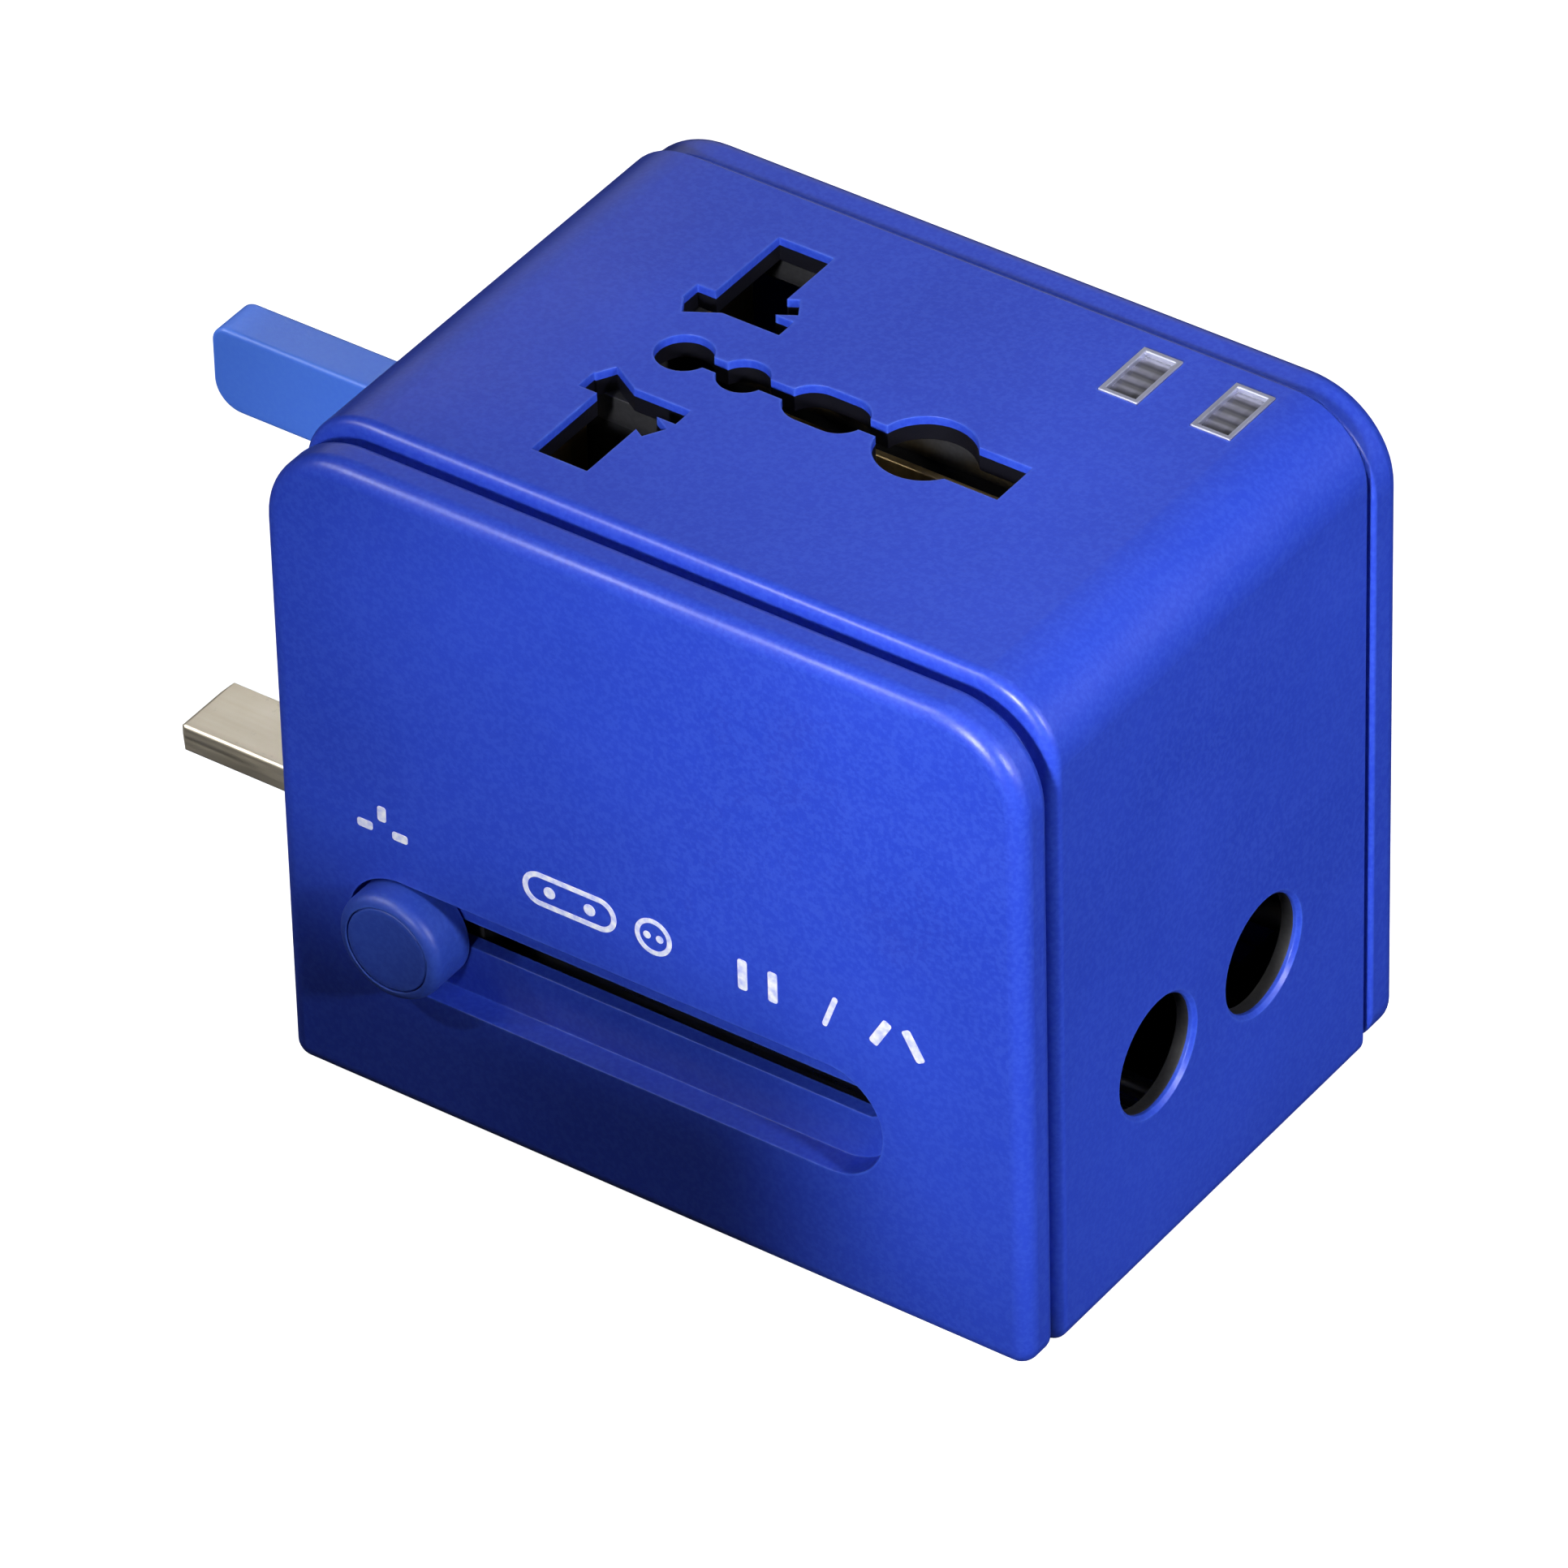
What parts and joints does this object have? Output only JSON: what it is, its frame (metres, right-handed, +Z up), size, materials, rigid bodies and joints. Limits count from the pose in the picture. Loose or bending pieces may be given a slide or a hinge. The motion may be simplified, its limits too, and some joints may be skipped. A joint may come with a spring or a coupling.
{
  "type": "universal travel adapter",
  "caption": "Compact mains travel adapter: sandwich case with a universal socket on top, a sliding selector, rectangular plug pins on one side and pop-out flat and round pins on the other.",
  "frame": {"origin": "middle of the flat base that the case rests on", "axes": "+X towards the two round pin holes, +Y away from the selector track, +Z up to the socket openings"},
  "size_m": [0.0863, 0.0501, 0.058],
  "materials": {
    "case_plastic": "satin blue moulding",
    "knob_plastic": "satin blue moulding",
    "pin_plastic": "lighter blue moulding",
    "black_plastic": "matt black moulding",
    "pin_brass": "satin",
    "contact_brass": "rolled strip",
    "spring_steel": "drawn",
    "screw_steel": "zinc plated",
    "frame_metal": "bright",
    "window_lens": "smoked translucent",
    "lamp_lens": "clear red",
    "fuse_ceramic": null,
    "board": "green laminate",
    "absorber": "dipped coating",
    "resistor": "lacquered"
  },
  "bodies": {
    "case": {"front_cover": "case_plastic", "middle_housing": "case_plastic", "back_cover": "case_plastic", "case_screws": "screw_steel", "indicator_frames": "frame_metal", "power_window": "window_lens", "surge_window": "window_lens", "indicator_lamps": "lamp_lens", "hole_liners": "black_plastic", "detent_rail": "spring_steel", "guide_rod_near": "spring_steel", "guide_rod_far": "spring_steel", "yoke_rod": "spring_steel", "socket_block": "black_plastic", "live_contact": "contact_brass", "neutral_contact": "contact_brass", "earth_contact": "contact_brass", "live_busbar": "contact_brass", "neutral_busbar": "contact_brass", "fuse_holder": "black_plastic", "fuse_tube": "fuse_ceramic", "fuse_caps": "frame_metal", "fuse_clips": "contact_brass", "circuit_board": "board", "surge_absorber": "absorber", "resistors": "resistor"},
    "carriage": {"pin_carriage": "black_plastic", "live_pin": "pin_brass", "neutral_pin": "pin_brass", "earth_pin": "pin_plastic", "selector_tongue": "black_plastic", "selector_knob": "knob_plastic", "detent_spring": "spring_steel", "live_wiper": "contact_brass", "neutral_wiper": "contact_brass", "button_spring": "spring_steel"},
    "button": {"unlock_button": "knob_plastic"},
    "near_blade": {"blade_near": "pin_brass"},
    "far_blade": {"blade_far": "pin_brass"},
    "round_pins": {"round_pin_yoke": "black_plastic", "round_pin_near": "pin_brass", "round_pin_far": "pin_brass", "round_pin_sleeve_near": "black_plastic", "round_pin_sleeve_far": "black_plastic"}
  },
  "joints": [
    {"name": "selector_slide", "type": "slide", "parent": "case", "child": "carriage", "axis": [1, 0, 0], "range_m": [0, 0.037]},
    {"name": "unlock_press", "type": "slide", "parent": "carriage", "child": "button", "axis": [0, 1, 0], "range_m": [0, 0.0008], "stiffness_N_per_m": 300, "springref_m": -0.001, "deforming": ["button_spring"]},
    {"name": "near_blade_turn", "type": "hinge", "parent": "carriage", "child": "near_blade", "pos_m": [0, -0.00635, 0.018], "axis": [1, 0, 0], "range_deg": [-30, 0]},
    {"name": "far_blade_turn", "type": "hinge", "parent": "carriage", "child": "far_blade", "pos_m": [0, 0.00635, 0.018], "axis": [1, 0, 0], "range_deg": [0, 30]},
    {"name": "round_pin_slide", "type": "slide", "parent": "case", "child": "round_pins", "axis": [1, 0, 0], "range_m": [0, 0.0185]}
  ]
}
